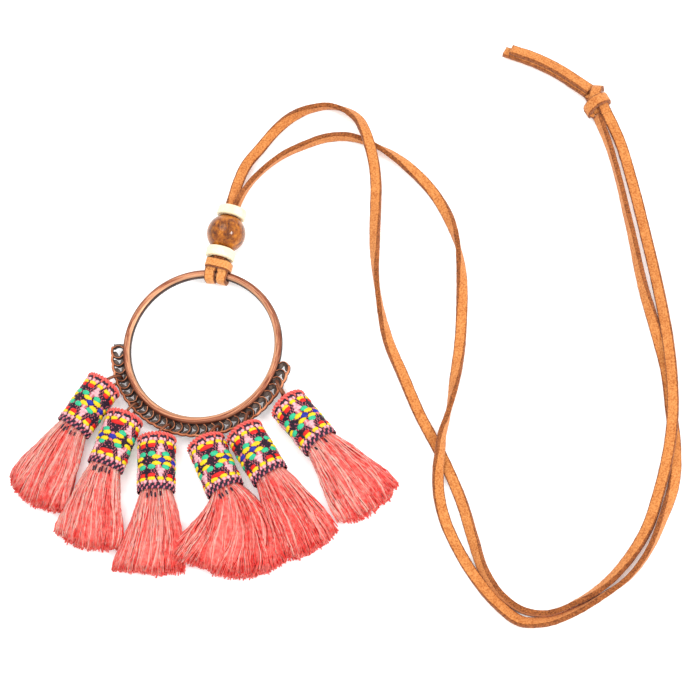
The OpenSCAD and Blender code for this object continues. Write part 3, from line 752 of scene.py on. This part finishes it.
def mouth(k):
    """The middle of the cuff's mouth, from above."""
    return ring_far(k) - polar(RING_OD * TASSELS[k].past, TASSELS[k].ring)


def circle(n):
    a = np.radians(np.arange(n) * 360 / n)
    return np.column_stack([np.cos(a), np.sin(a)])


def jump_ring(k):
    row = TASSELS[k]
    a, tilt = math.radians(row.ring), math.radians(90 + row.tilt)
    ex = np.array([math.cos(a), math.sin(a), 0])
    ey = np.array([-math.sin(a), math.cos(a), 0]) * math.cos(tilt) + UP * math.sin(tilt)
    q = circle(64)
    out = q[:, :1] * ex + q[:, 1:] * ey
    p = np.array([*(ring_near(k) + polar(RING_R, row.ring)), RING_Z]) + RING_R * out
    v, f = sweep(p, out, np.broadcast_to(np.cross(ex, ey), p.shape), RING_WIRE / 2 * circle(12), True)
    g = Geo()
    g.add(v, f)
    g.build(f"ring_{k + 1}", [COPPER], [f"jump_ring_{k + 1}"])


def loop_line(k):
    """The loop's middle: in from the fringe, round the ring's far wire and back."""
    row = TASSELS[k]
    way = polar(1, row.cuff)
    left = np.array([-way[1], way[0]])
    r = (RING_WIRE + LOOP_CORD) / 2 + LOOP_GAP
    leg = CORE_DEPTH - RING_OD * row.past * math.cos(math.radians(row.ring - row.cuff)) + 0.6
    share, turn = np.linspace(0, 1, 8), np.linspace(0, PI, 17)
    pts = [(leg * (1 - x), -r) for x in share[:-1]]
    pts += [(-r * math.sin(x), -r * math.cos(x)) for x in turn]
    pts += [(leg * x, r) for x in share[1:]]
    pts = np.array(pts)
    return np.column_stack([ring_far(k) + pts[:, :1] * way + pts[:, 1:] * left, np.full(len(pts), RING_Z)])


def thread_loop(k):
    """The tassel's hanging loop, two plies twisted together."""
    ply_r, ply_out, lay_length = 0.25, 0.2, 1.6
    p = loop_line(k)
    d = ways(p)
    side = unit(np.cross(UP, d))
    up = np.cross(d, side)
    s = np.concatenate([[0], np.cumsum(np.linalg.norm(np.diff(p, axis=0), axis=1))])
    g = Geo()
    for ply in (0, PI):
        w = s * 2 * PI / lay_length + ply
        centre = p + ply_out * (np.cos(w)[:, None] * side + np.sin(w)[:, None] * up)
        v, f = sweep(centre, side, up, ply_r * circle(8))
        g.add(v, f)
    g.build(f"loop_{k + 1}", [LOOP_THREAD], [f"tassel_loop_{k + 1}"])


for k in range(len(TASSELS)):
    jump_ring(k)
    thread_loop(k)


# Beads
def turned(name, s, profile, mat, node, n=72, seed=0, wobble=0.0):
    """A profile of radius and place along the lace's line, turned about that line."""
    profile = np.asarray(profile, float)
    a = np.radians(np.arange(n) * 360 / n)
    ax, ac = np.array([*LINE, 0]), np.array([*ACROSS, 0])
    o = np.array([*HITCH_XY, BEAD_Z]) + ax * s
    wave = 1 + wobble * np.sin(3 * a + seed) + wobble * 0.6 * np.sin(5 * a + 2 * seed)
    r = profile[None, :, 0]
    r = r * np.where(r > BORE / 2 + 0.1, wave[:, None], 1)
    out = np.cos(a)[:, None, None] * ac + np.sin(a)[:, None, None] * UP
    g = Geo()
    g.add(o + ax * profile[None, :, 1:] + r[..., None] * out, grid(n, len(profile), True, True))
    g.build(name, [mat], [node])


def bead_profile():
    """A ball cut off at its bore, whose edges are eased."""
    r, r_bore, half = BEAD_D / 2, BORE / 2, math.sqrt((BEAD_D / 2) ** 2 - (BORE / 2) ** 2)
    cut = math.degrees(math.acos(half / r))
    ball = [(r * math.sin(a), r * math.cos(a)) for a in np.radians(np.linspace(cut + 2, 178 - cut, 44))]
    top = [(r_bore, half - 0.35), (r_bore + 0.03, half - 0.12)]
    return top + ball + [(x, -y) for x, y in reversed(top)]


def disc_profile():
    middle, half_w = (DISC_D + BORE) / 4, (DISC_D - BORE) / 4
    return [(middle + x, y) for x, y, _ in rounded(half_w, DISC_T / 2, DISC_EDGE, (0, 22, 45, 68, 90))]


turned("wood_bead_turned", BEAD_AT, bead_profile(), WOOD, "wood_bead", 96)
turned("disc_lower", DISC_LOW, disc_profile(), CREAM, "disc_bead_lower", 64, 1, 0.006)
turned("disc_upper", DISC_UP, disc_profile(), CREAM, "disc_bead_upper", 64, 4, 0.006)

# Woven cuffs. The band's chart has one letter a warp: outer rows repeat after 20 letters, middle rows
# after 40. Capitals, p and c are long floats; n and h are the ground's short ones.
EYE = ["RRRRNNRRRRRnnnPPnnnn", "RRRRRRRRRRnnnnPPnnnn"]
HALF = [
    # height of the row, letters
    (0.9, "nPpPPnnPPpPPnnPPpPnn"),
    (1.0, "YYYYnnYYYYYnnYYYYnnY"),
    (1.0, "eye"),
    (1.0, "nhhhhhhhhnnnnPPPPnnn"),
    (0.8, "nnnhhhhnnnnnPPPPPPnn"),
    (1.1, "GGGGnnGGGGGnpPpnGGGGGnnhhhhnnGGGGGnnpPpG"),
    (1.0, "YYnhhhhnnYYYYYYnnYYYYYYnppnYYYYYYhhhYYYY"),
]
CHART = [
    (0.9, "NNNNNNcNNNNNNcNNNNNc"),
    *HALF,
    (1.1, "nhhhhhhhhhnnnBBBBBnnnnnBBBBBnnnhhhhhhhhn"),
    *HALF[::-1],
    (0.95, "NNNpNNNpNNNpNNNpNNNp"),
    (0.95, "NpNNNpNNNpNNNpNNNpNN"),
]
WARPS = 70
# where in the chart the middle of each cuff's top lies and which way it runs, which eye the cuff has,
# and how many short ends of navy weft show below it
PHASE = [(13, 1), (26, 1), (10, 1), (5, 1), (14, -1), (12, 1)]
EYES = [0, 1, 0, 1, 0, 0]
DASHES = [5, 6, 4, 4, 0, 2]
# how far a float swells past its row, by its letter
SWELL = {"Y": 0.24, "R": 0.32, "B": 0.3, "G": 0.3, "P": 0.2}
WOVEN_FROM = 0.765
GROUND, INSIDE = -0.42, -0.85
TABLE = np.linspace(0, 2 * PI, 721)
ELLIPSE = np.column_stack([CUFF_W / 2 * np.sin(TABLE), CUFF_H / 2 * np.cos(TABLE)])
ARC = np.concatenate([[0], np.cumsum(np.linalg.norm(np.diff(ELLIPSE, axis=0), axis=1))])
PERIM = ARC[-1]
# half of how far the upper side reaches back past the lower one, at the mouth and at the skirt
MOUTH_ARCH, SKIRT_ARCH = 1.2, 0.35


def cuff_point(k, s, v, h):
    """s round the cuff from the top, to the left of its way; v along it; h out from its surface."""
    phi = np.interp(s % PERIM, ARC, TABLE)
    way = np.array([*polar(1, TASSELS[k].cuff), 0])
    left = np.array([-way[1], way[0], 0])
    out = unit(np.stack([np.sin(phi) / (CUFF_W / 2), np.cos(phi) / (CUFF_H / 2)], -1))
    v = v - (MOUTH_ARCH + (SKIRT_ARCH - MOUTH_ARCH) * v / CUFF_L) * np.cos(phi)
    x = CUFF_W / 2 * np.sin(phi) + out[..., 0] * h
    z = CUFF_H / 2 * np.cos(phi) + out[..., 1] * h
    o = np.array([*mouth(k), CUFF_H / 2])
    return o + way * v[..., None] + left * x[..., None] + UP * z[..., None]


def floats(g, k, jobs, nu, nv):
    """Raised runs of weft, from rows of s0, s1, v0, v1, height, material and slant."""
    j = np.array(jobs, float)
    u = np.linspace(0, 1, nu)[None, :, None]
    w = np.linspace(-1, 1, nv)[None, None, :]
    s0, s1, v0, v1, height, mat, slant = (column[:, None, None] for column in j.T)
    tip = 1 - abs(2 * u - 1) ** 2.6
    half_v = (v1 - v0) / 2 * (0.15 + 0.85 * tip ** 0.65)
    s = s0 + (s1 - s0) * u + 0 * w
    v = (v0 + v1) / 2 + w * half_v + slant * (u - 0.5) * (v1 - v0)
    h = GROUND + height * (0.15 + 0.85 * tip ** 0.6) * np.sqrt(np.clip(1 - (w * 0.93) ** 2, 0, 1))
    quads = grid(nu, nv)
    f = (np.arange(len(j))[:, None, None] * (nu * nv) + quads[None]).reshape(-1, 4)
    g.add(cuff_point(k, s, v, h), f, np.repeat(mat.ravel().astype(int), len(quads)))


def warp_at(i):
    """Place round the cuff of the start of warp i."""
    return (i - WARPS / 2) * PERIM / WARPS


def short_floats(letter, warp, row, v, height, rng):
    """The ground's two floats on a warp: dark ones and light ones by turns."""
    jobs = []
    for sub in (0, 1):
        if letter == "n":
            dark = (warp + sub + row) % 2 == 0
        else:
            dark = (warp + 2 * sub + row) % 3 != 0
        light = "p" if letter == "n" or (warp + row) % 4 == 1 else "m"
        inset = 0 if dark else 0.08
        jobs.append([warp_at(warp - 0.12), warp_at(warp + 1.12), v + height * (sub / 2 + inset) - 0.02,
                     v + height * ((sub + 1) / 2 - inset) + 0.02, 0.26 + 0.06 * rng.random(),
                     KEYS.index("N" if dark else light), 0.0])
    return jobs


def long_float(letter, first, last, row, v, height, rng):
    """A float over the warps from first to last."""
    swell = SWELL.get(letter, 0.05) * height
    start = v - swell + rng.normal(0, 0.015)
    lift = (0.5 if letter in SWELL else 0.4) + 0.05 * rng.random()
    slant = -0.35 if letter in "Np" and row >= len(CHART) - 2 else 0.0
    return [warp_at(first) - 0.18, warp_at(last + 1) + 0.18, start, v + height + swell, lift,
            KEYS.index(letter), slant]


def weave(g, k, rng):
    """The cuff's floats, row by row of the chart."""
    long_jobs, short_jobs = [], []
    scale = (CUFF_L - WOVEN_FROM) / sum(share for share, text in CHART)
    v = WOVEN_FROM
    first, turn = PHASE[k]
    for row, (share, text) in enumerate(CHART):
        text = EYE[EYES[k]] if text == "eye" else text
        height = share * scale
        cells = [text[(first + turn * (i - WARPS // 2)) % len(text)] for i in range(WARPS)]
        for letter, run in groupby(range(WARPS), cells.__getitem__):
            run = list(run)
            if letter in "nh":
                for warp in run:
                    short_jobs += short_floats(letter, warp, row, v, height, rng)
            else:
                long_jobs.append(long_float(letter, run[0], run[-1], row, v, height, rng))
        v += height
    floats(g, k, long_jobs, 10, 6)
    floats(g, k, short_jobs, 4, 4)


def mouth_edge(g, k):
    """The rolled edge at the mouth, of two plies laid round each other."""
    turns, r, ply_out, ply_on = 13, 0.36, 0.26, 0.3
    s = np.linspace(0, PERIM, 289)[:-1]
    c = np.linspace(0, 2 * PI, 8)[:-1]
    for ply in (0, PI):
        w = 2 * PI * s / PERIM * turns + ply
        v = r + ply_on * np.sin(w)[:, None] - r * np.cos(c)[None]
        h = GROUND + ply_out * np.cos(w)[:, None] + r * np.sin(c)[None]
        g.add(cuff_point(k, s[:, None] + 0 * v, v, h), grid(len(s), len(c), True, True), KEYS.index("c"))


def cuff_end(k):
    return mouth(k) + polar(CUFF_L, TASSELS[k].cuff)


def weft_ends(g, k, rng):
    """Short ends of the navy weft, caught among the threads below the cuff."""
    way, left = polar(1, TASSELS[k].cuff), polar(1, TASSELS[k].cuff + 90)
    e = np.linspace(0, 1, 5)
    for i in range(DASHES[k]):
        x = (i + 0.5 + rng.uniform(-0.3, 0.3)) / DASHES[k] * 1.3 - 0.65
        along = rng.uniform(0.2, 0.9) + rng.uniform(0.9, 1.6) * e
        at = cuff_end(k) + way * along[:, None] + left * (CORE_W / 2 * (x + 0.03 * e))[:, None]
        z = CUFF_H / 2 + CORE_H / 2 * math.sqrt(1 - x * x) * 1.1 + 0.12 * np.sin(PI * e)
        p = np.column_stack([at, z])[None]
        strands(g, p, np.full((1, 5), 0.22), np.full((1, 5), 0.5), 5, KEYS.index("N"))


def cuff(k):
    rng = np.random.default_rng(100 + k)
    g = Geo()
    # the ground under the floats, and the sleeve's inside
    s, v = np.meshgrid(np.linspace(0, PERIM, 97)[:-1], np.linspace(0.2, CUFF_L - 0.15, 20), indexing="ij")
    for h in (GROUND, INSIDE):
        g.add(cuff_point(k, s, v, np.full(s.shape, h)), grid(*s.shape, True), KEYS.index("m"))
    weave(g, k, rng)
    mouth_edge(g, k)
    weft_ends(g, k, rng)
    g.build(f"cuff_{k + 1}", WEFT_LIST, [f"tassel_cuff_{k + 1}"])


for k in range(len(TASSELS)):
    cuff(k)

# Fringes
FLARE = 1.25
THREADS = 1080
SEGS = 11
THREAD_R = (0.17, 0.25)
# where the fringe's middle and its depth come to be its own, past the cuff
MIDDLE_BY, DEPTH_BY = 0.2, 0.14
# three layers of locks: place in the depth, how many, and their share of the threads
LAYERS = [(0.66, 21, 0.56), (0.0, 11, 0.16), (-0.62, 13, 0.28)]
# turn of the cut end, width of the left and right side, reach of the left side, middle and right,
# clearness of the locks, shade of the whole fringe, painted shade to the left, lift of the sides
Look = namedtuple("Look", "turn wide_l wide_r reach_l reach_m reach_r clear shade dusk lift")
LOOKS = [
    Look(3.5, 1.0, 1.0, 0.6, 0.0, -2.2, 0.75, 0.0, 0.3, 0.0),
    Look(3.0, 1.0, 1.0, 0.5, -0.8, -2.4, 0.75, 0.03, 0.3, 0.0),
    Look(0.0, 1.0, 0.98, -1.2, -1.4, 1.4, 0.85, 0.0, 0.3, 0.0),
    Look(-8.5, 1.36, 1.24, -7.0, -1.0, 5.6, 1.25, -0.1, 0.2, 0.7),
    Look(-2.5, 0.95, 1.0, 0.0, 0.0, 0.3, 1.2, -0.12, 0.15, 0.3),
    Look(0.7, 1.0, 1.0, 0.3, 0.0, 0.3, 1.2, -0.04, 0.0, 0.0),
]


def half_height(t):
    """Half the fringe's height, t down its length."""
    return FRINGE_H * np.interp(t, [0, 0.06, 0.14, 0.28, 0.46, 0.64, 0.82, 1.0, 1.1],
                                [0.43, 0.48, 0.5, 0.48, 0.44, 0.4, 0.36, 0.32, 0.31])


def middle_height(t):
    return CUFF_H / 2 + (half_height(t) - CUFF_H / 2) * np.clip(t / MIDDLE_BY, 0, 1)


def half_depth(t):
    return CORE_H / 2 + (half_height(t) - CORE_H / 2) * np.clip(t / DEPTH_BY, 0, 1)


def half_width(k, t, across):
    """Half width at t of the side that across is on: positive is left of the fringe's way."""
    row, look = TASSELS[k], LOOKS[k]
    full = FRINGE_L * np.where(across > 0, row.left * look.wide_l, row.right * look.wide_r)
    return CORE_W / 2 + (full - CORE_W / 2) * (1 - (1 - t) ** FLARE)


def pull(k, t, across):
    """How far the cut end's outline carries a place on along the fringe."""
    look = LOOKS[k]
    side = np.where(across > 0, look.reach_l, look.reach_r) - FRINGE_L * TASSELS[k].lag
    return (look.reach_m * (1 - across**2) + side * across**2) * t**2


def fringe_point(k, t, x, along, z):
    """A point at t down the fringe's bent middle line, x to its left and further on along it."""
    row = TASSELS[k]
    q0 = cuff_end(k)
    q1, q2 = q0 + polar(FRINGE_L * BEND, row.cuff), q0 + polar(FRINGE_L, row.fringe + LOOKS[k].turn)
    t = t[..., None]
    mid = q0 * (1 - t) ** 2 + q1 * (2 * t * (1 - t)) + q2 * t**2
    d = unit(2 * (1 - t) * (q1 - q0) + 2 * t * (q2 - q1))
    left = np.stack([-d[..., 1], d[..., 0]], -1)
    return np.concatenate([mid + left * x[..., None] + d * along[..., None], z[..., None]], -1)


def make_locks(rng):
    """Rows of a lock's middle and layer, width, tint, sway, length and twist, and the threads' shares."""
    locks, share = [], []
    for layer, n, part in LAYERS:
        size = rng.uniform(0.55, 1.5, n)
        middles = (np.cumsum(size) - size / 2) / size.sum() * 2 - 1
        for middle, width in zip(middles, size / size.sum()):
            locks.append((middle, layer + rng.uniform(-0.16, 0.12), width, rng.uniform(-0.16, 0.16),
                          rng.uniform(-1, 1), rng.uniform(-1, 1),
                          rng.choice([-1, 1]) * rng.uniform(0.5, 1.3)))
            share.append(part * width)
    locks, share = np.array(locks), np.array(share)
    return locks, share / share.sum()


def threads(g, k, rng):
    look, n = LOOKS[k], THREADS
    locks, share = make_locks(rng)
    which = rng.choice(len(locks), n, p=share)
    middle, layer, width, tint, sway, length, twist = locks[which].T[..., None]
    angle, rad = rng.uniform(0, 2 * PI, n)[:, None], np.sqrt(rng.uniform(0.05, 1, n))[:, None]
    t = np.linspace(0, 1, SEGS + 1)[None]
    # the lock's threads turn about its middle on the way down
    turn = angle + twist * look.clear * 2.6 * t
    du, dz = rad * np.cos(turn), rad * np.sin(turn)
    extra = rng.normal(0, 0.42, n)[:, None] + 0.4 * length
    # clumping: tight in the middle of the length, loose at the cut end
    tight = 1.0 - look.clear * 0.34 * np.sin(PI * np.clip(t * 1.1 - 0.05, 0, 1)) + 0.1 * t**3
    drift = 0.05 * np.sin(2 * PI * (t * 1.1 + sway)) * np.sin(PI * np.clip(t, 0, 1) / 2)
    crimp = rng.uniform(0.05, 0.17, n)[:, None]
    phase, pace = rng.uniform(0, 2 * PI, n)[:, None], rng.uniform(3.2, 6.0, n)[:, None]
    stray = np.where(rng.random(n) < 0.05, 3.0, 1.0)[:, None]
    u = middle + du * width * tight * 1.3 + drift + rng.normal(0, 0.025, n)[:, None] * stray * t**2
    deep = layer + dz * 0.34 + rng.normal(0, 0.05, n)[:, None] * stray * t
    # kept inside a rounded outline
    deep = np.clip(deep, -1, 1) * np.sqrt(np.clip(1 - np.abs(u) ** 2.4, 0.02, 1))
    crimp = crimp * np.minimum(1, 4 * t)
    waves = 2 * PI * pace * t + phase
    x = half_width(k, t, u) * u + crimp * np.sin(waves)
    z = middle_height(t) + deep * half_depth(t) + crimp * 0.8 * np.cos(waves)
    z = z + look.lift * t**2 * np.minimum(abs(u), 1)
    p = fringe_point(k, t, x, extra * t**3 + pull(k, t, np.clip(u, -1, 1)), np.maximum(z, 0.2))
    # one more point inside the cuff, straight back
    p = np.concatenate([p[:, :1] - np.array([*polar(2.0, TASSELS[k].cuff), 0]), p], 1)
    r = np.broadcast_to(rng.uniform(*THREAD_R, n)[:, None], p.shape[:2])
    # painted shade in the crevices between locks, painted highlight on their crests
    painted_lock_light_and_shade = 0.2 * dz - 0.3 * np.clip(np.abs(du) - 0.5, 0, 1) * look.clear
    tint = 0.56 + look.shade + tint + painted_lock_light_and_shade + rng.normal(0, 0.22, n)[:, None]
    # painted shade over the last part of the length, at the cut end, and painted shade towards the left side
    tint = tint - 0.22 * np.clip((t - 0.82) / 0.18, 0, 1) - look.dusk * np.clip(u, 0, 1) * t
    strands(g, p, r, np.concatenate([tint[:, :1], tint], 1))


def inner_mass(g, k):
    """The mass of thread inside, so that nothing shows through."""
    n = 48
    across, up = circle(n).T
    # each ring: how far back inside the cuff as a share, how far down the fringe, and its fullness
    rings = [(1, 0, 0.35), (5 / 6, 0, 0.9), (1 / 12, 0, 1)] + [(0, t, 1) for t in np.linspace(0, 0.96, 14)]
    out = []
    for back, t, full in rings:
        t = np.full(n, float(t))
        x = across * half_width(k, t, across) * 0.9 * full
        z = middle_height(t) + up * half_depth(t) * 0.84 * full
        into = np.array([*polar(back * (CUFF_L - CORE_DEPTH), TASSELS[k].cuff), 0])
        out.append(fringe_point(k, t, x, pull(k, t, across), z) - into)
    g.add(np.array(out), [grid(len(out), n, False, True)] + ends(n, len(out)), 0, 0.42)


for k in range(len(TASSELS)):
    g = Geo()
    threads(g, k, np.random.default_rng(500 + k))
    inner_mass(g, k)
    g.build(f"fringe_{k + 1}", [CORAL], [f"tassel_fringe_{k + 1}"])

# Floor and light
FLOOR_HALF = 3.0
corners = [(x * FLOOR_HALF, y * FLOOR_HALF, 0) for x, y in ((-1, -1), (1, -1), (1, 1), (-1, 1))]
floor_mesh = bpy.data.meshes.new("floor")
floor_mesh.from_pydata(corners, [], [(0, 1, 2, 3)])
floor = placed("floor", floor_mesh)
pale = Mat("pale_floor", Roughness=0.9, Base_Color=(0.93, 0.93, 0.93, 1), Specular_IOR_Level=0.1,
           Emission_Color=(1, 1, 1, 1), Emission_Strength=0.25)
floor_mesh.materials.append(pale.m)


def area(name, at, look, size, power, colour=(1, 1, 1)):
    d = bpy.data.lights.new(name, "AREA")
    d.shape, d.size, d.energy, d.color = "DISK", size, power, colour
    o = placed(name, d)
    o.location = at
    o.rotation_euler = (Vector(look) - Vector(at)).to_track_quat("-Z", "Y").to_euler()


area("key", (0.75, -0.2, 0.75), (0.05, 0, 0), 0.26, 4.8, (1.0, 0.985, 0.96))
area("top", (-0.15, 0.35, 1.1), (0.05, 0, 0), 0.9, 4.8)
world = bpy.data.worlds.new("studio")
SCENE.world = world
world.use_nodes = True
sky = world.node_tree.nodes["Background"].inputs
sky["Color"].default_value, sky["Strength"].default_value = (1, 1, 1, 1), 1.18
SCENE.view_settings.view_transform = "Standard"
SCENE.view_settings.look = "None"
